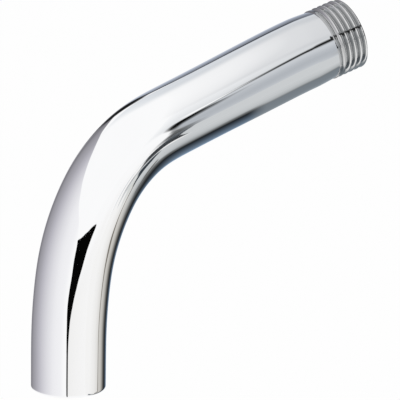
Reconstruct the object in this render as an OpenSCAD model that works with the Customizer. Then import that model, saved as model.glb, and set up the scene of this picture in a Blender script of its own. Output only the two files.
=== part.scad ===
// Bath spout: one bent brass tube with a square-cut outlet and a pipe-threaded inlet.
// The origin is the centre of the shoulder where the thread starts. The outlet
// points straight down (-Z) and the inlet leans up and back (+Y). The bend lies
// in the YZ plane, so the spout is the same on its left and right.
// The bend isn't one arc: it tightens in four sweeps from the outlet to the crown.

/* [Tube] */
// Outside diameter of the tube
tube_d = 21.2; // [20.4:0.1:26]
// Diameter of the waterway, the same from end to end
bore_d = 16; // [12:0.1:17.5]

/* [Outlet] */
// Straight length above the outlet's face
outlet_land = 12; // [6:0.5:60]
// Rounding of the outlet's outer edge
outlet_round = 0.6; // [0.2:0.05:1.2]

/* [Bend] */
// Centreline radius of the first sweep above the outlet
sweep_1_r = 160; // [60:1:300]
// Turn of the first sweep, in degrees
sweep_1_turn = 6.8; // [2:0.1:15]
// Centreline radius of the second sweep
sweep_2_r = 67; // [45:1:150]
// Turn of the second sweep, in degrees
sweep_2_turn = 20.5; // [5:0.1:30]
// Centreline radius of the third sweep
sweep_3_r = 39; // [34:1:90]
// Turn of the third sweep, in degrees
sweep_3_turn = 17.9; // [5:0.1:30]
// Centreline radius of the crown, the tightest sweep
crown_r = 32; // [26:0.5:60]
// Turn of the crown, in degrees
crown_turn = 23.6; // [5:0.1:35]
// Straight rest between one sweep and the next
rest_len = 1; // [0.8:0.1:5]

/* [Inlet arm] */
// Straight length of the arm behind the crown
arm_len = 41; // [20:1:150]
// Centreline radius of the slight set near the inlet
set_r = 140; // [80:5:300]
// Turn of the slight set, in degrees
set_turn = 3.2; // [1:0.1:8]
// Length of the straight end that is polished down to the shoulder
polish_len = 6; // [3:0.5:15]
// How far the polishing takes the surface down at the shoulder
polish_depth = 0.45; // [0.1:0.05:0.8]

/* [Inlet thread] */
// Major diameter of the parallel pipe thread, here the half-inch size
thread_d = 20.955; // [20:0.005:25]
// Length of the thread from the shoulder to the inlet's face
thread_len = 9.5; // [6:0.5:25]
// Distance from one turn of the thread to the next
thread_pitch = 1.814; // [1.337:0.001:2.309]
// Depth of the thread from its crests to its roots
thread_depth = 1.162; // [0.4:0.001:1.3]
// Height of the 45 degree chamfer at the thread's start
thread_chamfer = 0.4; // [0.2:0.05:1]

/* [Waterway's ends] */
// Chamfer of the bore's edge at the inlet and at the outlet
bore_chamfer = 0.5; // [0.2:0.05:0.8]

/* [Hidden] */
$fn = 48;
tube_r = tube_d / 2;
bore_r = bore_d / 2;
thread_r = thread_d / 2;
// The arc that polishes the end down, tangent to the tube where it starts
polish_r = (polish_len * polish_len + polish_depth * polish_depth) / (2 * polish_depth);
// The bends add up to the lean of the inlet away from straight up
full_turn = sweep_1_turn + sweep_2_turn + sweep_3_turn + crown_turn + set_turn;
// Half of the pipe thread's 55 degrees, the angle between a flank and a cut square
// across the tube
flank_angle = 27.5;
flank_run = thread_depth * tan(flank_angle);
// The crests and the roots share what the two flanks leave of the pitch
crest_flat = (thread_pitch - 2 * flank_run) / 2;
// The first groove starts half a crest behind the chamfer, and the last stops short of
// the shoulder, as a die does
thread_start = thread_chamfer + crest_flat / 2;
thread_turns = floor((thread_len - thread_start) / thread_pitch);
// How far a cutting tool runs past the face that it cuts
overrun = 1;
// Bending draws a tube slimmer: this much in radius against the straights beside it
draw_down = 0.05;
// A bend reaches this far into the straights at its ends, where it is seated
bend_seat = 0.3;

// A straight round rod along +Z, with the next piece of the run at its far end
module straight_run(r, len) {
    cylinder(r = r, h = len);
    translate([0, 0, len]) children();
}

// A round rod bent towards -Y on the given centreline radius, a little slimmer than
// the straights, with the next piece of the run at its far end, tangent to it
module bent_run(r, bend_r, turn) {
    seat_turn = bend_seat / bend_r * 180 / PI;
    translate([0, -bend_r, 0])
        rotate([90, 0, 90])
        rotate_extrude(start = -seat_turn, angle = turn + 2 * seat_turn)
        translate([bend_r, 0])
        circle(r = r - draw_down);
    translate([0, -bend_r, 0])
        rotate([turn, 0, 0])
        translate([0, bend_r, 0])
        children();
}

// The bent middle of the tube, from the polished end down to the outlet's land
module bent_middle(r) {
    bent_run(r, set_r, set_turn)
        straight_run(r, arm_len)
        bent_run(r, crown_r, crown_turn)
        straight_run(r, rest_len)
        bent_run(r, sweep_3_r, sweep_3_turn)
        straight_run(r, rest_len)
        bent_run(r, sweep_2_r, sweep_2_turn)
        straight_run(r, rest_len)
        bent_run(r, sweep_1_r, sweep_1_turn)
        children();
}

// Half section of the straight end: its skin falls on one arc to the shoulder
module polished_end_section() {
    intersection() {
        square([tube_r, polish_len]);
        translate([tube_r - polish_r, polish_len]) circle(r = polish_r, $fn = 720);
    }
}

// Half section of the outlet's land, with its outer edge rounded
module outlet_section() {
    square([tube_r, outlet_land - outlet_round]);
    square([tube_r - outlet_round, outlet_land]);
    translate([tube_r - outlet_round, outlet_land - outlet_round])
        circle(r = outlet_round);
}

// One groove in the thread's half section: its four corners, from x along the tube
function groove(x) = [
    [thread_r, x],
    [thread_r - thread_depth, x + flank_run],
    [thread_r - thread_depth, x + flank_run + crest_flat],
    [thread_r, x + 2 * flank_run + crest_flat]
];

// Half section of the threaded end, chamfered where it enters the socket. Its turns
// stand level, as rings, where the real ones climb
module thread_section() {
    grooves = [for (turn = [0 : 1 : thread_turns - 1]) each groove(thread_start + turn * thread_pitch)];
    polygon(concat(
        [[0, 0], [thread_r - thread_chamfer, 0], [thread_r, thread_chamfer]],
        grooves,
        [[thread_r, thread_len], [0, thread_len]]
    ));
}

// Everything outside, solid all through
module tube_skin() {
    translate([0, 0, -thread_len]) rotate_extrude() thread_section();
    rotate_extrude() polished_end_section();
    translate([0, 0, polish_len])
        bent_middle(tube_r)
        rotate_extrude() outlet_section();
}

// A 45 degree countersink for one end of the waterway, which opens towards +Z
module mouth_chamfer() {
    translate([0, 0, -bore_chamfer])
        cylinder(r1 = bore_r, r2 = bore_r + bore_chamfer + overrun, h = bore_chamfer + overrun);
}

// The waterway, the same bore all along the run
module waterway() {
    translate([0, 0, -thread_len - overrun])
        cylinder(r = bore_r, h = thread_len + overrun + polish_len);
    translate([0, 0, -thread_len]) mirror([0, 0, 1]) mouth_chamfer();
    translate([0, 0, polish_len])
        bent_middle(bore_r) {
            cylinder(r = bore_r, h = outlet_land + overrun);
            translate([0, 0, outlet_land]) mouth_chamfer();
        }
}

// The whole spout, turned so that its outlet points straight down
module spout_tube() {
    color([0.83, 0.84, 0.86])
        rotate([180 - full_turn, 0, 0])
        difference() {
            tube_skin();
            waterway();
        }
}

spout_tube();
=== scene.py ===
import math
import bpy
import numpy as np
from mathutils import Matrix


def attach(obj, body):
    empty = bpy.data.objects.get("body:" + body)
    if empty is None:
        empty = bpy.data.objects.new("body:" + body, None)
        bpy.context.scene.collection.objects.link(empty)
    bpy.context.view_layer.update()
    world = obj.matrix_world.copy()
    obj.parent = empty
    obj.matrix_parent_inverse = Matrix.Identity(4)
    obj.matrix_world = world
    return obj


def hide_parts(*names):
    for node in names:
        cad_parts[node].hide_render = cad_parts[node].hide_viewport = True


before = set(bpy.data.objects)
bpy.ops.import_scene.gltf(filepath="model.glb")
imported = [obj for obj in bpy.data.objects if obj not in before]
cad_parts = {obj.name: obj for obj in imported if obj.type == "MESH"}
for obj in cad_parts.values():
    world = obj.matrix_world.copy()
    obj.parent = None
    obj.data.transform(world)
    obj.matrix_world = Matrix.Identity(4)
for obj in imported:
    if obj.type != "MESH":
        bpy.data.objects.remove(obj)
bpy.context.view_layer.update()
mm = 0.001

# Sizes in millimetres and degrees, as the frame's tube has them. Past the crown's flattening,
# polishing takes polishDepth off the radius over the last polishLen before the shoulder.
tube = dict(radius=10.6, bore=8.0, edgeRound=0.6, boreChamfer=0.5, segments=160,
            flatten=0.36, flattenAt=85.4, flattenSpan=25.4, polishLen=7.0, polishDepth=0.443)
# The run from the outlet to the shoulder: (length, 0) for a straight, (radius, turn) for a bend.
run = [(12, 0), (160, 6.8), (1, 0), (67, 20.5), (1, 0), (39, 17.9), (1, 0), (32, 23.6),
       (41, 0), (140, 3.2), (6, 0)]
outletAt = (-78.8518, -92.5446)  # the outlet's centre in the YZ plane
# The half-inch parallel thread. Counted from the shoulder, the grooves start at runOutFrom and
# reach their depth over runOut, and the die's fine rings stand ringGap apart, fade over
# ringsFade and end at ringsTo. Rows of points lie closer within arcRows of a crest or root.
thread = dict(major=10.4775, pitch=1.814, depth=1.162, length=9.5, rimRadius=10.06, flank=27.5,
              rounding=0.249, arcRows=0.22, runOut=2.2, runOutFrom=0.25, ringGap=0.62,
              ringsTo=2.8, ringsFade=0.8)
# How far the thread's colour darkens towards the groove colour, from 0 to 1: a duller finish on the rim's
# chamfer and in the die's rings, and painted shade on the shoulder's step.
dullAt = dict(rim=1.0, rings=0.95, shoulder=0.9)


# 0 below nought, 1 above a width and straight between.
def ramp(value, width):
    return np.clip(value / width, 0, 1)


# A share from 0 to 1 with level ends: three times its square less twice its cube.
def eased(share):
    return share * share * (3 - 2 * share)


# Three running means in a row come close to a bell curve. Sigma is in samples, and the
# values are held level past both ends.
def bellBlur(values, sigma):
    width = int(2 * sigma) | 1
    edge = 3 * (width // 2)
    values = np.concatenate([np.full(edge, values[0]), values, np.full(edge, values[-1])])
    for _ in range(3):
        sums = np.concatenate([[0], np.cumsum(values)])
        values = (sums[width:] - sums[:-width]) / width
    return values


# The running sum of a value along the line, each step's two ends averaged.
def runningSum(values, gap):
    return np.concatenate([[0], np.cumsum((values[1:] + values[:-1]) / 2 * gap)])


# The centreline in the YZ plane. Its lean is the running sum of the bends' curvature,
# blurred because a tube that is bent in one go has no jumps in it, and its places are the
# running sums of the lean's sine and cosine.
def smoothCentreline(step=0.5, blur=3.0, samples=24001):
    lengths = [first * math.radians(turn) if turn else first for first, turn in run]
    bends = np.array([1 / first if turn else 0.0 for first, turn in run])
    edges = np.concatenate([[0], np.cumsum(lengths)])
    fine = np.linspace(0, edges[-1], samples)
    gap = fine[1] - fine[0]
    piece = np.clip(np.searchsorted(edges, fine, side="right") - 1, 0, len(bends) - 1)
    total = math.radians(sum(turn for _, turn in run))
    lean = bellBlur(runningSum(bends[piece], gap), blur / gap)
    lean = (lean - lean[0]) * total / (lean[-1] - lean[0])
    y = runningSum(np.sin(lean), gap)
    z = runningSum(np.cos(lean), gap)
    y = y - y[-1]
    z = z - z[-1]
    # what the blur moves the outlet by, a few hundredths, is taken back evenly along the run
    back = 1 - fine / fine[-1]
    y += (outletAt[0] - y[0]) * back
    z += (outletAt[1] - z[0]) * back
    at = np.linspace(0, fine[-1], int(round(fine[-1] / step)) + 1)
    return at, np.interp(at, fine, y), np.interp(at, fine, z), np.interp(at, fine, lean)


stations, lineY, lineZ, lineLean = smoothCentreline()
runLength = stations[-1]


# One ring of the tube round the centreline at s: an ellipse of the two radii, in the plane
# of the bend and across it, square to the line. Past the shoulder the line runs on straight.
def ringAt(s, inPlane, sideways, angles):
    past = max(0.0, s - runLength)
    y = np.interp(s, stations, lineY) + past * math.sin(lineLean[-1])
    z = np.interp(s, stations, lineZ) + past * math.cos(lineLean[-1])
    lean = np.interp(s, stations, lineLean)
    across = inPlane * np.sin(angles)
    return np.stack([sideways * np.cos(angles), y + across * math.cos(lean), z - across * math.sin(lean)], -1)


# The tube laid out straight: the same ring as a circle, with s as its height. The finish
# follows these places, so its polish lines run along the tube round every bend.
def laidOut(s, radius, angles):
    return np.stack([radius * np.cos(angles), radius * np.sin(angles), s + 0 * angles], -1)


# Outer radius at s, in the plane of the bend and across it. Bending flattens the crown by a
# smooth hump, and polishing takes the last stretch down by a rising power of its length.
def skinRadius(s):
    flat = tube["flatten"] / (1 + ((s - tube["flattenAt"]) / tube["flattenSpan"]) ** 4)
    share = max(0.0, (s - (runLength - tube["polishLen"])) / tube["polishLen"])
    fall = share ** 1.5 * tube["polishDepth"]
    return tube["radius"] - flat - fall, tube["radius"] - fall


# How deep the 55 degree thread is cut at a distance in mm from a crest's middle: a crest
# arc, a straight flank and a root arc follow one another.
def threadCut(phase):
    pitch = thread["pitch"]
    rounding = thread["rounding"]
    flank = math.radians(thread["flank"])
    x = np.abs((phase + pitch / 2) % pitch - pitch / 2)
    touch = rounding * math.cos(flank)
    drop = rounding * (1 - math.sin(flank))
    crest = rounding - np.sqrt(np.maximum(rounding ** 2 - np.minimum(x, touch) ** 2, 0))
    far = pitch / 2 - x
    root = thread["depth"] - rounding + np.sqrt(np.maximum(rounding ** 2 - np.minimum(far, touch) ** 2, 0))
    share = np.clip((x - touch) / (pitch / 2 - 2 * touch), 0, 1)
    middle = drop + share * (thread["depth"] - 2 * drop)
    return np.where(x < touch, crest, np.where(far < touch, root, middle))


# Rows of points that follow the helix, so that crests and roots stay crisp: a row's place
# along the thread falls by one pitch in one turn. Rows past the shoulder or the end face
# are laid on it, where they fall together and are merged. Out come each point's place
# along the thread, its radius and how far its colour darkens, by a duller finish and by painted shade.
def threadGrid(angles):
    pitch = thread["pitch"]
    length = thread["length"]
    arc = thread["arcRows"]
    climb = pitch * angles[None, :] / (2 * math.pi)
    phases = np.concatenate([np.linspace(0, arc, 4), np.linspace(arc, pitch / 2 - arc, 4)[1:],
                             np.linspace(pitch / 2 - arc, pitch / 2, 4)[1:]])
    phases = np.concatenate([phases, pitch - phases[-2:0:-1]])
    turns = int(length / pitch) + 3
    base = (np.arange(turns)[:, None] * pitch + phases[None, :]).ravel() - pitch
    along = np.clip(base[:, None] - climb, 0, length)
    # the die runs out towards the shoulder: the grooves grow shallow over the last turn
    fade = ramp(along - thread["runOutFrom"], thread["runOut"])
    cut = threadCut(along + climb)
    helix = thread["major"] - cut * fade ** 0.7
    radius = np.minimum(helix, thread["rimRadius"] + (length - along))
    # the colour darkens with the grooves' depth, painted shade in the recesses on a duller finish, also where
    # they run out; the rim's chamfer has the duller finish
    dull = (cut / thread["depth"]) ** 1.5 * fade ** 0.25
    dull = np.where(radius < helix - 1e-6, dullAt["rim"], dull)
    # a duller finish in the fine rings that the die leaves where it stops, and painted shade where they meet
    # the shoulder
    rings = 0.5 - 0.5 * np.cos(2 * math.pi * along / thread["ringGap"])
    shown = ramp(thread["ringsTo"] - along, thread["ringsFade"])
    dull = np.maximum(dull, dullAt["rings"] * rings * shown)
    # painted shade along the thread's edge at the shoulder
    dull = np.where(along < 0.05, dullAt["shoulder"], dull)
    return along, radius, dull


# Joins each ring to the next, the last to the first and the helix's rows to each other,
# into one closed skin. Points that fall together are merged and faces that shrink to
# nothing are left out. Each point keeps its laid-out place and how far its colour darkens, by a duller finish
# and by painted shade.
def joinSkin(name, rings, helix):
    count = tube["segments"]
    places = np.concatenate([ring["points"] for ring in rings] + [helix["points"].reshape(-1, 3)])
    laid = np.concatenate([ring["laid"] for ring in rings] + [helix["laid"].reshape(-1, 3)])
    dull = np.concatenate([np.full(count, ring["dull"]) for ring in rings] + [helix["dull"].ravel()])
    column = np.arange(count)
    after = (column + 1) % count
    faces = []
    finishes = []
    for i, ring in enumerate(rings):
        if ring["finish"] < 0:  # the helix fills the gap after this ring
            continue
        first = i * count
        second = (i + 1) % len(rings) * count
        faces.append(np.stack([first + column, first + after, second + after, second + column], -1))
        finishes.append(np.full(count, ring["finish"]))
    rows, columns = helix["dull"].shape
    grid = len(rings) * count + np.arange(rows * columns).reshape(rows, columns)
    quads = np.stack([grid[:-1, :-1], grid[:-1, 1:], grid[1:, 1:], grid[1:, :-1]], -1).reshape(-1, 4)
    faces.append(quads)
    finishes.append(np.full(len(quads), helix["finish"]))
    keys = np.round(places * 1e7).astype(np.int64)
    _, firstOf, sameAs = np.unique(keys, axis=0, return_index=True, return_inverse=True)
    corners = sameAs.reshape(-1)[np.concatenate(faces)]
    polygons = []
    kept = []
    for corner, finish in zip(corners.tolist(), np.concatenate(finishes).tolist()):
        slim = [v for k, v in enumerate(corner) if v != corner[k - 1]]
        if len(set(slim)) >= 3:
            polygons.append(slim)
            kept.append(finish)
    mesh = bpy.data.meshes.new(name)
    mesh.from_pydata(places[firstOf].tolist(), [], polygons)
    mesh.attributes.new("laidOut", "FLOAT_VECTOR", "POINT").data.foreach_set(
        "vector", laid[firstOf].ravel().astype(np.float32))
    mesh.attributes.new("dullness", "FLOAT", "POINT").data.foreach_set(
        "value", dull[firstOf].astype(np.float32))
    mesh.polygons.foreach_set("material_index", kept)
    mesh.polygons.foreach_set("use_smooth", [True] * len(polygons))
    mesh.set_sharp_from_angle(angle=math.radians(34))
    mesh.update()
    return mesh


# The whole skin, in rings from the outlet's edge over the outside to the shoulder, across
# the thread and the end face, and back through the bore. Finish 0 is the tube, 1 the
# thread and 2 the bore.
def buildSpout():
    angles = np.linspace(0, 2 * math.pi, tube["segments"], endpoint=False)
    bore = tube["bore"]
    chamfer = tube["boreChamfer"]
    rings = []

    def add(s, inPlane, sideways, finish, dull=0.0):
        points = ringAt(s, inPlane, sideways, angles) * mm
        rings.append(dict(points=points, laid=laidOut(s, sideways, angles) * mm, finish=finish, dull=dull))

    for turn in np.radians(np.linspace(0, 90, 7)):  # the outlet's rounded edge
        radius = tube["radius"] - tube["edgeRound"] * (1 - math.sin(turn))
        add(tube["edgeRound"] * (1 - math.cos(turn)), radius, radius, 0)
    for s in stations[2:]:  # the first two lie within the rounded edge
        add(s, *skinRadius(s), 0)
    # the shoulder's step takes the thread's finish, darkened as painted shade over the bright rim it would
    # show
    rings[-1].update(finish=1, dull=dullAt["shoulder"])
    add(runLength, thread["major"], thread["major"], -1, dullAt["shoulder"])
    end = runLength + thread["length"]
    closed = np.linspace(0, 2 * math.pi, tube["segments"] + 1)
    along, radius, dull = threadGrid(closed)
    lean = lineLean[-1]
    y = along * math.sin(lean) + radius * np.sin(closed) * math.cos(lean)
    z = along * math.cos(lean) - radius * np.sin(closed) * math.sin(lean)
    points = np.stack([radius * np.cos(closed), y, z], -1) * mm
    laid = np.stack([radius * np.cos(closed), radius * np.sin(closed), runLength + along], -1) * mm
    # the end face's outer ring takes the thread's own last points
    last = np.argmax(along[:, :-1] >= thread["length"] - 1e-9, axis=0)
    column = np.arange(tube["segments"])
    rings.append(dict(points=points[last, column], laid=laid[last, column], finish=1, dull=dullAt["rim"]))
    add(end, bore + chamfer, bore + chamfer, 1, dullAt["rim"])
    add(end - chamfer, bore, bore, 2)
    for s in np.linspace(end - 2, runLength + 1, 5):
        add(s, bore, bore, 2)
    for s in stations[-2:2:-2]:  # every second one is enough for the bore
        add(s, bore, bore, 2)
    add(chamfer, bore, bore, 2)
    add(0, bore + chamfer, bore + chamfer, 0)
    mesh = joinSkin("spoutSkin", rings, dict(points=points, laid=laid, dull=dull, finish=1))
    spout = bpy.data.objects.new("spout_skin", mesh)
    bpy.context.scene.collection.objects.link(spout)
    return spout


spout = buildSpout()
print("tube and thread", len(spout.data.vertices), "points", len(spout.data.polygons), "faces")

# Finishes. The chrome's reflectance is that of bright plate, the thread's grooves are darker than its
# crests, partly a duller skin and partly painted shade, and the bore is left satin behind the outlet.
plating = dict(plate=(0.955, 0.958, 0.966), crest=(0.76, 0.76, 0.755), groove=(0.40, 0.405, 0.41),
               bore=(0.66, 0.655, 0.65))


# A node of the given kind with its settings made.
def newNode(nodes, kind, **settings):
    node = nodes.new(kind)
    for key, value in settings.items():
        setattr(node, key, value)
    return node


# Polish: long fine lines that follow the tube, a slow waviness left by the buffing wheel,
# and a fine grain. Out come a tone mask, the cloud noise times the lines, a roughness
# between two values by the cloud noise, and a normal bent by the three heights in turn.
def polishGroup():
    group = bpy.data.node_groups.new("buffedPlate", "ShaderNodeTree")
    for name in ("Low Roughness", "High Roughness", "Line Depth", "Wave Depth", "Grain Depth"):
        group.interface.new_socket(name, in_out="INPUT", socket_type="NodeSocketFloat")
    group.interface.new_socket("Tone", in_out="OUTPUT", socket_type="NodeSocketFloat")
    group.interface.new_socket("Roughness", in_out="OUTPUT", socket_type="NodeSocketFloat")
    group.interface.new_socket("Normal", in_out="OUTPUT", socket_type="NodeSocketVector")
    nodes = group.nodes
    links = group.links
    given = nodes.new("NodeGroupInput")
    result = nodes.new("NodeGroupOutput")
    laid = newNode(nodes, "ShaderNodeAttribute", attribute_name="laidOut")
    stretch = newNode(nodes, "ShaderNodeMapping", vector_type="POINT")
    stretch.inputs["Scale"].default_value = (1, 1, 0.04)
    links.new(laid.outputs["Vector"], stretch.inputs["Vector"])
    noises = {}
    for part, scale, detail, places in (("lines", 2600, 3, stretch), ("waves", 70, 1, laid),
                                        ("grain", 3200, 2, laid), ("cloud", 160, 4, laid)):
        noise = nodes.new("ShaderNodeTexNoise")
        noise.inputs["Scale"].default_value = scale
        noise.inputs["Detail"].default_value = detail
        links.new(places.outputs["Vector"], noise.inputs["Vector"])
        noises[part] = noise.outputs["Fac"]
    rough = newNode(nodes, "ShaderNodeMix", data_type="FLOAT")
    links.new(noises["cloud"], rough.inputs["Factor"])
    links.new(given.outputs["Low Roughness"], rough.inputs["A"])
    links.new(given.outputs["High Roughness"], rough.inputs["B"])
    links.new(rough.outputs["Result"], result.inputs["Roughness"])
    tone = newNode(nodes, "ShaderNodeMath", operation="MULTIPLY")
    links.new(noises["cloud"], tone.inputs[0])
    links.new(noises["lines"], tone.inputs[1])
    links.new(tone.outputs[0], result.inputs["Tone"])
    # a depth of 1 is 0.05 mm for the waves, 0.001 mm for the lines and 0.01 mm for the grain
    normal = None
    for part, depth, reach in (("waves", "Wave Depth", 5e-5), ("lines", "Line Depth", 1e-6),
                               ("grain", "Grain Depth", 1e-5)):
        height = newNode(nodes, "ShaderNodeMath", operation="MULTIPLY")
        links.new(noises[part], height.inputs[0])
        links.new(given.outputs[depth], height.inputs[1])
        bump = nodes.new("ShaderNodeBump")
        bump.inputs["Distance"].default_value = reach
        links.new(height.outputs[0], bump.inputs["Height"])
        if normal:
            links.new(normal, bump.inputs["Normal"])
        normal = bump.outputs["Normal"]
    links.new(normal, result.inputs["Normal"])
    return group


polish = polishGroup()


# A plated metal with the polish group's own values. Base Color runs from the first colour
# to the second by the named attribute, or by the polish's tone mask where none is named.
def metalFinish(name, first, second, low, high, lineDepth, waveDepth, grainDepth, attribute=None):
    material = bpy.data.materials.new(name)
    material.use_nodes = True
    nodes = material.node_tree.nodes
    links = material.node_tree.links
    shader = nodes["Principled BSDF"]
    shader.inputs["Metallic"].default_value = 1
    buffed = newNode(nodes, "ShaderNodeGroup", node_tree=polish)
    for key, value in (("Low Roughness", low), ("High Roughness", high), ("Line Depth", lineDepth),
                       ("Wave Depth", waveDepth), ("Grain Depth", grainDepth)):
        buffed.inputs[key].default_value = value
    blend = newNode(nodes, "ShaderNodeMix", data_type="RGBA")
    blend.inputs["A"].default_value = (*first, 1)
    blend.inputs["B"].default_value = (*second, 1)
    if attribute:
        source = newNode(nodes, "ShaderNodeAttribute", attribute_name=attribute)
        links.new(source.outputs["Fac"], blend.inputs["Factor"])
    else:
        links.new(buffed.outputs["Tone"], blend.inputs["Factor"])
    links.new(blend.outputs["Result"], shader.inputs["Base Color"])
    links.new(buffed.outputs["Roughness"], shader.inputs["Roughness"])
    links.new(buffed.outputs["Normal"], shader.inputs["Normal"])
    return material


# A colour times a share.
def shaded(colour, share):
    return tuple(channel * share for channel in colour)


brightChrome = metalFinish("brightChrome", shaded(plating["plate"], 1.004), shaded(plating["plate"], 0.975),
                           low=0.012, high=0.03, lineDepth=0.3, waveDepth=0.6, grainDepth=0.0)
# the thread's colour runs from the crest colour to the groove colour by the attribute: painted shade in the
# grooves and on the shoulder's step, a duller finish in the die's rings and on the rim
threadChrome = metalFinish("threadChrome", plating["crest"], plating["groove"], low=0.04, high=0.10,
                           lineDepth=1.0, waveDepth=0.5, grainDepth=0.6, attribute="dullness")
boreSatin = metalFinish("boreSatin", plating["bore"], shaded(plating["bore"], 0.8),
                        low=0.25, high=0.42, lineDepth=2.0, waveDepth=2.0, grainDepth=1.0)
for material in (brightChrome, threadChrome, boreSatin):
    spout.data.materials.append(material)
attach(spout, "root")
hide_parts("spout_tube")
print("finishes")

# The studio. Its cards are patches of a dome round the spout, placed by azimuth and
# elevation in degrees, and only reflections see them. Every tone is written as it looks in
# the chrome, from 0 to 1 on the screen.
studio = dict(centre=(0, -0.045, -0.045), radius=1.0, plateShare=0.957, floorAt=-1.0, floorHalf=40,
              threadSide=(0.0093, 0.0045, 0.006))


# Screen tone to light: the screen's curve undone, over the share that the plate gives back.
def toLight(tone):
    tone = np.asarray(tone, float)
    return np.where(tone <= 0.04045, tone / 12.92, ((tone + 0.055) / 1.055) ** 2.4) / studio["plateShare"]


# A value read between given stops, each (position, value).
def stops(at, *table):
    return np.interp(at, [row[0] for row in table], [row[1] for row in table])


# A grey with a tint of red, green and blue, which fades out as the grey nears white.
def tinted(tone, tint):
    tone = np.asarray(tone, float)[..., None]
    return tone * (1 + (np.array(tint) - 1) * np.clip(3.5 * (1 - tone), 0, 1))


# A card's tone: a tinted grey read between stops by its first or its second coordinate.
def toneByFirst(table, tint):
    return lambda a, b: tinted(stops(a, *table), tint)


def toneBySecond(table, tint):
    return lambda a, b: tinted(stops(b, *table), tint)


# A card's tone where it is one grey all over.
def evenTone(grey, tint):
    return lambda a, b: tinted(grey + 0 * a, tint)


# A smooth line through rows of numbers: each stretch is a cubic whose slope at a row is
# half the step from the row before to the row after.
def throughRows(rows, count):
    rows = np.array(rows, float)
    slopes = np.gradient(rows, axis=0)
    at = np.linspace(0, len(rows) - 1, count)
    k = np.minimum(at.astype(int), len(rows) - 2)
    t = (at - k)[:, None]
    return ((1 + 2 * t) * (1 - t) ** 2 * rows[k] + t * (1 - t) ** 2 * slopes[k]
            + t ** 2 * (3 - 2 * t) * rows[k + 1] - t ** 2 * (1 - t) * slopes[k + 1])


# 1 on a drawn line and 0 off it: the distance to its nearest stretch over its half width
# there, softened. Rows are (a, b, half width). Azimuths are squeezed as the dome's are.
def drawnLine(a, b, rows, soft=0.5, squeeze=1.0):
    mark = np.zeros(np.shape(a))
    for (a1, b1, w1), (a2, b2, w2) in zip(rows[:-1], rows[1:]):
        da = (a2 - a1) * squeeze
        db = b2 - b1
        t = np.clip(((a - a1) * squeeze * da + (b - b1) * db) / (da * da + db * db), 0, 1)
        away = np.hypot((a - a1) * squeeze - t * da, b - b1 - t * db) / (w1 + (w2 - w1) * t)
        mark = np.maximum(mark, ramp(1 - away, soft))
    return eased(mark)


# A colour with another laid over it, by the mark times the strength.
def painted(colour, mark, over, strength=1.0):
    share = (mark * strength)[..., None]
    return colour * (1 - share) + np.asarray(over) * share


# Unit direction by azimuth and elevation, times the radius, from the dome's centre or a
# named other one. Of two cards, the one with the smaller radius hides the other.
def onDome(radius, centre="centre"):
    def pointAt(azimuth, elevation):
        a = np.radians(azimuth)
        e = np.radians(elevation)
        way = np.stack([np.cos(e) * np.cos(a), np.cos(e) * np.sin(a), np.sin(e)], -1)
        return way * radius * studio["radius"] + np.array(studio[centre])
    return pointAt


# A level sheet at the given height, placed by x and y in millimetres.
def onLevel(height):
    def pointAt(x, y):
        return np.stack([x * mm, y * mm, height + 0 * x], -1)
    return pointAt


# What every card is made of: it glows with its own tone and thins out with its cover.
def cardMaterial():
    material = bpy.data.materials.new("studioCard")
    material.use_nodes = True
    nodes = material.node_tree.nodes
    links = material.node_tree.links
    nodes.clear()
    tone = newNode(nodes, "ShaderNodeAttribute", attribute_name="tone")
    cover = newNode(nodes, "ShaderNodeAttribute", attribute_name="cover")
    glow = nodes.new("ShaderNodeEmission")
    clear = nodes.new("ShaderNodeBsdfTransparent")
    mix = nodes.new("ShaderNodeMixShader")
    out = nodes.new("ShaderNodeOutputMaterial")
    links.new(tone.outputs["Color"], glow.inputs["Color"])
    links.new(cover.outputs["Fac"], mix.inputs["Fac"])
    links.new(clear.outputs[0], mix.inputs[1])
    links.new(glow.outputs[0], mix.inputs[2])
    links.new(mix.outputs[0], out.inputs["Surface"])
    return material


cardStuff = cardMaterial()


# A ruled card between two lines: a row holds a point of the first and one of the second.
# Tone and cover are functions of the card's two coordinates. Fades are the widths over
# which it thins out at its start, its end, its first line and its second, in the
# coordinates' own unit.
def card(name, rows, tone, fades, pointAt, cover=None, counts=(180, 60)):
    lines = throughRows(rows, counts[0])
    first = lines[:, None, :2]
    second = lines[:, None, 2:]
    share = (1 - np.cos(np.pi * np.linspace(0, 1, counts[1]))) / 2
    grid = first + (second - first) * share[None, :, None]
    a = grid[..., 0]
    b = grid[..., 1]
    width = np.linalg.norm(second - first, axis=-1)
    middle = (first + second)[:, 0] / 2
    along = np.concatenate([[0], np.cumsum(np.linalg.norm(np.diff(middle, axis=0), axis=-1))])[:, None]
    covers = np.ones(a.shape)
    for distance, fade in zip((along, along[-1] - along, share * width, (1 - share) * width), fades):
        if fade:
            covers = covers * eased(ramp(distance, fade))
    if cover:
        covers = covers * cover(a, b)
    points = pointAt(a, b).reshape(-1, 3)
    index = np.arange(a.size).reshape(a.shape)
    faces = np.stack([index[:-1, :-1], index[:-1, 1:], index[1:, 1:], index[1:, :-1]], -1).reshape(-1, 4)
    mesh = bpy.data.meshes.new(name)
    mesh.from_pydata(points.tolist(), [], faces.tolist())
    light = np.ones((a.size, 4), np.float32)
    light[:, :3] = toLight(tone(a, b)).reshape(-1, 3)
    mesh.attributes.new("tone", "FLOAT_COLOR", "POINT").data.foreach_set("color", light.ravel())
    mesh.attributes.new("cover", "FLOAT", "POINT").data.foreach_set(
        "value", covers.ravel().astype(np.float32))
    piece = bpy.data.objects.new(name, mesh)
    bpy.context.scene.collection.objects.link(piece)
    mesh.materials.append(cardStuff)
    for ray in ("camera", "diffuse", "shadow", "transmission", "volume_scatter"):
        setattr(piece, "visible_" + ray, False)
    return piece


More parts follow.
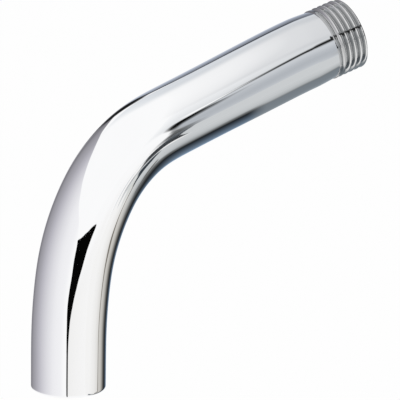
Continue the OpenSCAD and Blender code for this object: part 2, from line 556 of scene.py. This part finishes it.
# A narrow card along a line. Rows hold azimuth, elevation, half width in degrees, tone and
# cover, and soft is the share of the half width over which its sides thin out.
def ribbon(name, rows, tint, radius, soft=0.5, count=90, centre="centre"):
    line = throughRows(rows, count)
    step = np.gradient(line[:, :2], axis=0)
    squeeze = np.cos(np.radians(line[:, 1]))
    length = np.hypot(step[:, 0] * squeeze, step[:, 1]) + 1e-9
    side = np.stack([-step[:, 1] / length / squeeze, step[:, 0] * squeeze / length], -1) * line[:, 2:3]
    at = np.arange(count, dtype=float)
    pointAt = onDome(radius, centre)

    # the card's own coordinates are the place along the line and the place across it
    def across(k, t):
        index = np.clip(k, 0, count - 1)
        azimuth = np.interp(index, at, line[:, 0]) + t * np.interp(index, at, side[:, 0])
        elevation = np.interp(index, at, line[:, 1]) + t * np.interp(index, at, side[:, 1])
        return pointAt(azimuth, elevation)

    def shade(k, t):
        return tinted(np.interp(k, at, line[:, 3]), tint)

    def thin(k, t):
        return np.interp(k, at, line[:, 4]) * eased(ramp(1 - np.abs(t), soft))

    ends = [(k, -1, k, 1) for k in (0, (count - 1) / 2, count - 1)]
    return card(name, ends, shade, (0, 0, 0, 0), across, thin, counts=(count * 2, 17))


# The lilac-grey side panel behind the spout, by azimuth and top edge. Its tone is darkest
# by the corner and rises round to white.
sideTop = ((150, -4), (158, 4), (166, 12), (172, 15), (180, 21), (190, 27), (200, 31), (210, 35),
           (220, 37.5), (230, 38.5), (240, 38), (250, 36), (260, 33), (270, 29), (280, 25), (290, 20),
           (305, 13), (315, 7), (322, 2))
sideFoot = -32
sideTone = ((150, 0.66), (162, 0.70), (168, 0.66), (173, 0.58), (178, 0.48), (182, 0.48), (188, 0.53),
            (194, 0.57), (204, 0.61), (214, 0.64), (230, 0.71), (247, 0.79), (266, 0.865), (285, 0.92),
            (294, 0.935), (313, 0.95), (324, 0.955))
card("card_side", [(azimuth, top, azimuth, sideFoot) for azimuth, top in sideTop],
     toneByFirst(sideTone, (1, 0.992, 1.035)), (6, 14, 0.9, 10), onDome(1.02))

# The wall beyond the corner, by azimuth, top edge and foot, with a dark moulding that runs
# five degrees under its top.
wallTop = ((140, 33), (146, 35), (156.5, 40), (164, 42.5), (168.5, 39.5), (170, 35), (171, 31.5), (174, 31),
           (177, 31))
wall = [(140, 33, 140, -22), (146, 35, 146, -22), (152, 38, 152, -20), (157, 40.2, 158, -14),
        (161, 41.8, 162, -6), (164, 42.5, 165.5, 2), (166.5, 41.6, 169, 9), (168.5, 39.5, 172, 16),
        (170, 35, 175, 23), (171, 31.5, 177, 29)]
wallDown = ((0, 0.50), (6, 0.47), (10, 0.50), (14, 0.55), (20, 0.60), (27, 0.68), (34, 0.75), (41, 0.82),
            (50, 0.87))
mouldingDark = ((156, 0), (161, 0.25), (166, 0.62), (172, 0.7))


# The wall's tone by the way down from its top, less the moulding's bell curve.
def wallTone(a, b):
    down = stops(a, *wallTop) - b
    dark = stops(a, *mouldingDark) * np.exp(-((down - 5) / 2.6) ** 2)
    return tinted(stops(down, *wallDown) * (1 - dark), (0.96, 1, 1.08))


card("card_wall", wall, wallTone, (8, 1.5, 1.2, 6), onDome(1.0))

# The dark corner itself, from its foot to its top: left edge and right edge.
corner = [(157, -14, 161, -14), (159, -9, 165.5, -9), (163, -2, 171.5, -1), (165.4, 6, 176, 6),
          (166.8, 13, 180.5, 12), (168, 20, 184, 18), (169.5, 26, 184.5, 24), (171.8, 31, 182.5, 31),
          (173, 35, 180, 35)]
cornerTone = ((-12, 0.5), (-8, 0.42), (2, 0.27), (9, 0.14), (22, 0.08), (26, 0.14), (31, 0.38))
card("card_corner", corner, toneBySecond(cornerTone, (0.98, 0.99, 1.03)), (5, 3, 3.2, 3.6), onDome(0.98))

# The ceiling above the wall, a cool pale grey that fades out round the side.
card("card_ceiling", [(azimuth, 34, azimuth, 76) for azimuth in (130, 145, 160, 175, 190, 205, 215)],
     toneByFirst(((150, 0.83), (172, 0.85), (190, 0.90)), (0.965, 1, 1.04)), (22, 26, 3, 20), onDome(1.03))

# The black wedge below the camera, by rows from its upper edge to its point: left, right.
# Its tail runs on from the point as a thin line, and the white on its right is a warm one.
wedge = [(-39.2, 2.0, -38.2, 2.1), (-38, 1, -30, 0.75), (-37.2, 0, -23, -0.3), (-36.7, -1, -17, -1.6),
         (-36.5, -2, -11, -2.9), (-36.2, -3, -4.3, -4.9), (-36, -4.1, -0.5, -6.7), (-35.5, -5.5, -2.8, -7.8),
         (-34.9, -7, -5.2, -8.8), (-34.7, -8, -6.7, -9.9), (-34.9, -9.1, -8.7, -11),
         (-35.5, -10.2, -12.6, -12), (-36.2, -11.2, -15.6, -13), (-36.8, -12.3, -19.6, -13.9),
         (-37, -13.2, -22.6, -14.8), (-36.4, -14.4, -24.8, -15.5), (-35, -16, -26.4, -16.4),
         (-33.8, -18, -27.8, -18), (-33, -19.5, -28.4, -19.5)]
card("card_wedge", wedge, evenTone(0.02, (1, 1, 1)), (0, 0, 0.35, 0.35), onDome(0.95), counts=(240, 60))
ribbon("card_wedge_tail", [(-30.8, -17.5, 3.0, 0.03, 1), (-30.5, -20, 2.8, 0.05, 1), (-30, -24, 2.2, 0.12, 1),
                           (-29.6, -34, 1.8, 0.25, 0.9)], (1, 1, 1), 0.95)
card("card_warm", [(-29.5, height, 30, height) for height in (-9, -14, -20, -30)],
     toneByFirst(((-29, 0.94), (0, 0.955), (30, 0.965)), (1, 0.985, 0.96)), (6, 8, 0.6, 6), onDome(1.02))

# The pale grey panel on the camera's right, from the gap to the side.
gap = ((31.7, 31.3), (18.5, 28.5), (16.5, 26), (15.2, 24.6), (14.5, 22.9), (14.3, 20), (14.6, 17), (14.6, 13),
       (14.6, 9), (17, 5), (20, 0), (24, -9), (29, -17.3), (34, -18.2), (38, -19.6))
frontTone = ((-16, 0.79), (-10, 0.76), (-5, 0.73), (2, 0.715), (10, 0.74), (20, 0.80), (33, 0.82))
card("card_front", [(60, 34, 110, 34)] + [(azimuth, height, 110, height) for azimuth, height in gap],
     toneBySecond(frontTone, (0.965, 0.99, 1.02)), (1, 0, 0.4, 6), onDome(1.0))
# the gap itself: a dark bar along the panel's top, which narrows, opens to a lens and runs on
# down to a leaf
ribbon("card_gap", [(100, 33, 2.2, 0.25, 0.8), (62, 33, 2.2, 0.2, 1), (31.7, 31.3, 6.5, 0.03, 1),
                    (18.5, 28.5, 4.6, 0.12, 1), (16.5, 26.4, 3.5, 0.25, 1), (15.2, 24.6, 1.6, 0.50, 1),
                    (14.5, 22.9, 0.8, 0.64, 1), (14.3, 20.8, 0.7, 0.62, 1), (14.4, 19, 1.2, 0.3, 1),
                    (14.6, 17, 3.0, 0.02, 1), (14.8, 13.5, 3.6, 0.02, 1), (15.3, 10.5, 3.0, 0.04, 1),
                    (16.2, 7.8, 1.8, 0.25, 1), (17.8, 4, 0.9, 0.5, 0.8), (19.3, 0.5, 1.1, 0.5, 0.9),
                    (20.7, -2, 1.1, 0.43, 1), (22.3, -5.2, 1.8, 0.40, 1), (23.5, -8, 2.0, 0.34, 1),
                    (25.2, -10.8, 1.8, 0.33, 0.9), (27, -13.2, 1.4, 0.38, 0.5), (28.5, -15.5, 1.0, 0.4, 0)],
       (0.98, 1, 1.01), 0.96, soft=0.85, count=240)
# the soft shade on the white beside the gap, by elevation and where it ends
shadeEnd = ((10, 14.5), (22, 14.5), (27, 17), (30, 60), (33, 90), (50, 90))
shadeAt = (8, 14, 20, 26, 30, 34, 42, 52)
card("card_shade", [(3, height, stops(height, *shadeEnd), height) for height in shadeAt],
     toneByFirst(((3, 0.97), (7, 0.945), (11, 0.90), (13, 0.87), (16, 0.85)), (0.98, 1, 1.02)),
     (8, 12, 3, 1.5), onDome(1.01))

# Below and behind: a dark stripe whose azimuth falls with its elevation, beige and white on
# its left, steel blue on its right. The card runs from what the outlet's leg reflects to
# what the arm's underside reflects.
legEdge = [(22, -16), (30, -17), (38, -18), (48, -18), (60, -19), (75, -19), (90, -19), (104, -19),
           (118, -18.5), (132, -18), (145, -16), (152, -14)]
armEdge = [(22, -17.5), (30, -27), (36, -33), (43, -40), (50, -46), (60, -50), (72, -53), (90, -54),
           (106, -52), (122, -47), (140, -37), (154, -22)]
# The stripe's azimuth by elevation. Degrees left of it are divided by leftStretch before
# their tone is read, and the way from it to rightEnd counts from 0 to 1.
stripeAt = ((-49, 77), (-47, 79), (-43, 84.5), (-39, 94), (-35, 103), (-31, 108), (-27, 112), (-21, 116))
leftStretch = ((-49, 0.85), (-46, 0.95), (-43, 1.5), (-39, 1.85), (-35, 1.65), (-31, 1.3), (-27, 1.08),
               (-21, 1))
leftTone = ((0, 0.13), (4, 0.26), (11, 0.43), (18, 0.65), (26, 0.765), (34, 0.80), (41, 0.86), (55, 0.92),
            (75, 0.955))
rightEnd = 150
rightTone = ((0, 0.13), (0.15, 0.215), (0.3, 0.30), (0.45, 0.38), (0.6, 0.46), (0.75, 0.56), (0.9, 0.69),
             (1.05, 0.82))
# Lines drawn on the white side, by azimuth, elevation and half width, and the rail's foot.
rail = ((24, -9.5, 1.0), (26.5, -13, 1.1), (29, -16.6, 1.1), (32.4, -20.2, 1.0), (36, -23.4, 1.2),
        (41, -26, 1.5), (46, -28, 1.3), (50, -28.5, 1.0), (53, -28.8, 0.8))
railFoot = ((22, -5), (24, -9.5), (29, -17), (36, -23.4), (41, -26), (46, -28), (53, -28.8), (62, -29),
            (72, -30))
thinRail = ((52, -28.8, 0.6), (57, -29.2, 0.7), (61.2, -28.8, 0.9), (63.6, -27.7, 1.2), (65.8, -26.7, 1.5),
            (71.2, -25.7, 1.9), (75.6, -24.3, 2.1), (77.2, -22.6, 2.1), (77.8, -20.8, 1.2))
brownLine = ((58, -36.1, 0.4), (62, -36.5, 1.1), (67, -36.6, 1.2), (76, -36, 1.0), (84, -33.4, 0.7))
beyondTone = ((-47, 0.45), (-44.5, 0.60), (-42, 0.70), (-38, 0.765), (-31, 0.795), (-20, 0.80), (-10, 0.77))


# The two sides' tones meet at the stripe over 12 degrees. The left is warm above elevation
# -28 and neutral below -34. The grey past the rail, the strip and the lines lie over them.
def underTone(a, b):
    stripe = stops(b, *stripeAt)
    left = (stripe - a) / stops(b, *leftStretch)
    right = (a - stripe) / (rightEnd - stripe)
    tone = np.where(a < stripe, stops(left, *leftTone), stops(right, *rightTone))
    warm = tinted(tone, (1, 0.985, 0.95))
    neutral = tinted(tone, (0.98, 1, 1.01))
    blue = tinted(tone, (0.86, 1, 1.15))
    steepness = ramp(b + 34, 6)[..., None]
    leftColour = neutral + (warm - neutral) * steepness
    turn = ramp(a - stripe + 6, 12)[..., None]
    colour = leftColour * (1 - turn) + blue * turn
    # past the rail the arm sees the same pale grey as the panel in front
    foot = stops(a, *railFoot)
    beyond = ramp(foot - b, 0.5) * ramp(a - 36, 1.5) * ramp(68 - a, 7)
    colour = painted(colour, beyond, tinted(stops(b, *beyondTone), (0.98, 1, 1.01)))
    # a paler strip lies against the rail on the white side
    strip = ramp(b - foot, 0.3) * ramp(foot + 3.4 - b, 0.4) * ramp(58 - a, 6) * ramp(a - 40, 3)
    colour = painted(colour, strip, (0.80, 0.81, 0.80), 0.8)
    colour = painted(colour, drawnLine(a, b, brownLine, 0.7, 0.8), (0.35, 0.34, 0.32), 0.8)
    colour = painted(colour, drawnLine(a, b, thinRail, 0.8, 0.88), (0.43, 0.41, 0.38), 0.95)
    return painted(colour, drawnLine(a, b, rail, 0.35, 0.9) * ramp(a - 37, 2), (0.20, 0.23, 0.26))


card("card_under", [(*first, *second) for first, second in zip(legEdge, armEdge)], underTone,
     (2, 6, 1.5, 3), onDome(0.99), counts=(420, 200))

# A table stands under the spout on the camera's right, by x and y of its near edge. Its top
# is the pale grey that the arm shows, and the rail along its near edge, by x, y and half
# width, is what the inner bend shows as a dark leaf.
tableEdge = ((150, 66.5), (170, 67.5), (190, 71), (215, 78), (246, 86.5), (270, 93), (300, 103), (350, 121),
             (400, 140), (460, 160))
card("card_table", [(x, y, x - 170, y + 200) for x, y in tableEdge],
     evenTone(0.80, (0.98, 1, 1.01)), (12, 60, 0.6, 30), onLevel(-0.12))
railLine = ((168, 67.4, 1.5), (190, 72, 2.4), (215, 78, 3.2), (246, 86, 4.6), (270, 93, 5.5), (300, 104, 6.5),
            (350, 123, 7.5), (400, 143, 8), (460, 166, 8))
card("card_table_rail", [(x, y - half, x - 2, y + half) for x, y, half in railLine],
     toneByFirst(((190, 0.24), (246, 0.24), (350, 0.38)), (0.95, 1, 1.05)), (26, 60, 1, 1), onLevel(-0.1195))

# A pale sheet nearer the arm, whose left side shades into the dark that the arm shows below.
sheetTone = ((12, 0.44), (17.5, 0.45), (25, 0.545), (34.5, 0.672), (43, 0.714), (52, 0.745), (70, 0.785))
card("card_sheet", [(x, 38, x, 116) for x in (11, 26, 42, 58, 76)], toneByFirst(sheetTone, (0.98, 1, 1.01)),
     (6, 8, 12, 6), onLevel(-0.09), counts=(80, 60))

# A grey card between the arm's own reflections, which only the thread's flanks see. A dark
# band crosses it, and it darkens as a whole past azimuth 85.
flankTone = ((0, 0.70), (24, 0.76), (28.5, 0.10), (34.5, 0.10), (39, 0.80), (62, 0.88))
card("card_flank", [(38, height, 150, height) for height in (-12, 0, 12, 24, 36, 48, 64)],
     lambda a, b: tinted(stops(b, *flankTone) * stops(a, (85, 1), (105, 0.35)), (0.985, 1, 1.01)),
     (8, 8, 5, 12), onDome(0.94), counts=(160, 60))
# A small dark strip close by the thread, on the side that its turned flanks see. It carries
# the gap's dark bar on round them.
ribbon("card_turn", [(60, 32, 7, 0.04, 0), (48, 32, 7, 0.04, 1), (32, 31.5, 7, 0.04, 1),
                     (14, 31.5, 7, 0.04, 1), (-4, 27.5, 7, 0.04, 1), (-30, 20, 7, 0.04, 1),
                     (-50, 11, 7, 0.05, 1), (-71, -2, 7, 0.06, 1), (-88, -12, 5, 0.1, 0)],
       (1, 1, 1), 0.006, soft=0.4, centre="threadSide")

# A grey board close under the arm's inlet end.
boardTone = ((-150, 0.74), (-90, 0.67), (-53, 0.63), (-26, 0.56), (-10, 0.51), (15, 0.485))
card("card_board", [(-150, 13, -150, 70), (-90, 2, -90, 70), (-53, -2, -53, 70), (-26, -6, -26, 70),
                    (0, -8, 0, 70), (19, -8, 19, 70)],
     toneByFirst(boardTone, (0.94, 1, 1.05)), (70, 9, 10, 10), onLevel(-0.04))

# A sheet over the inlet end, which shades the arm's broad band. Its cover grows with y.
overCover = ((-60, 0), (-40, 0.2), (-30, 0.3), (-17, 0.5), (-8, 0.65), (50, 0.8), (300, 0.8))
card("card_over", [(x, -60, x, 300) for x in (-150, -60, 30, 120, 210)], evenTone(0.80, (0.985, 1, 1.02)),
     (50, 50, 0, 0), onLevel(0.15), lambda a, b: stops(b, *overCover), counts=(60, 120))
print("studio cards")


# The floor and the world are white to the camera and to the metal, and a plain level to
# everything else. The floor keeps a share of paint, so that shadows stay on it.
def whiteTo(nodes, links):
    path = nodes.new("ShaderNodeLightPath")
    either = newNode(nodes, "ShaderNodeMath", operation="MAXIMUM")
    both = newNode(nodes, "ShaderNodeMath", operation="MAXIMUM")
    links.new(path.outputs["Is Camera Ray"], either.inputs[0])
    links.new(path.outputs["Is Glossy Ray"], either.inputs[1])
    links.new(either.outputs[0], both.inputs[0])
    links.new(path.outputs["Is Transmission Ray"], both.inputs[1])
    return both.outputs[0]


# Pale paint, mixed with a white glow by the rays above.
def floorMaterial(glowShare=0.97):
    material = bpy.data.materials.new("paleFloor")
    material.use_nodes = True
    nodes = material.node_tree.nodes
    links = material.node_tree.links
    nodes.clear()
    out = nodes.new("ShaderNodeOutputMaterial")
    paint = nodes.new("ShaderNodeBsdfDiffuse")
    paint.inputs["Color"].default_value = (0.9, 0.9, 0.9, 1)
    glow = nodes.new("ShaderNodeEmission")
    share = newNode(nodes, "ShaderNodeMath", operation="MULTIPLY")
    share.inputs[1].default_value = glowShare
    mix = nodes.new("ShaderNodeMixShader")
    links.new(whiteTo(nodes, links), share.inputs[0])
    links.new(share.outputs[0], mix.inputs["Fac"])
    links.new(paint.outputs[0], mix.inputs[1])
    links.new(glow.outputs[0], mix.inputs[2])
    links.new(mix.outputs[0], out.inputs["Surface"])
    return material


mesh = bpy.data.meshes.new("floor")
floorAt = studio["floorAt"]
half = studio["floorHalf"]
corners = [(-half, -half, floorAt), (half, -half, floorAt), (half, half, floorAt), (-half, half, floorAt)]
mesh.from_pydata(corners, [], [(0, 1, 2, 3)])
floor = bpy.data.objects.new("floor", mesh)
bpy.context.scene.collection.objects.link(floor)
mesh.materials.append(floorMaterial())

world = bpy.data.worlds.new("studio")
bpy.context.scene.world = world
world.use_nodes = True
nodes = world.node_tree.nodes
links = world.node_tree.links
level = nodes.new("ShaderNodeMapRange")
level.inputs["To Min"].default_value = 0.75
level.inputs["To Max"].default_value = 1.0
links.new(whiteTo(nodes, links), level.inputs["Value"])
nodes["Background"].inputs["Color"].default_value = (1, 1, 1, 1)
links.new(level.outputs[0], nodes["Background"].inputs["Strength"])

lamp = bpy.data.lights.new("overhead", "AREA")
lamp.size = 1.2
lamp.energy = 8
overhead = bpy.data.objects.new("overhead", lamp)
overhead.location = (0.1, -0.3, 1.0)
overhead.visible_glossy = False
bpy.context.scene.collection.objects.link(overhead)
print("floor, world and lamp")

# The camera that the photo's outline was fitted with.
camera = bpy.data.cameras.new("photoCamera")
camera.sensor_width = 36
camera.lens = 234
camera.clip_end = 100
cameraObject = bpy.data.objects.new("photoCamera", camera)
cameraObject.location = (0.635910, -0.365553, 0.151668)
cameraObject.rotation_euler = (1.306129, -0.019283, 1.100526)
bpy.context.scene.collection.objects.link(cameraObject)
scene = bpy.context.scene
scene.camera = cameraObject
scene.view_settings.view_transform = "Standard"
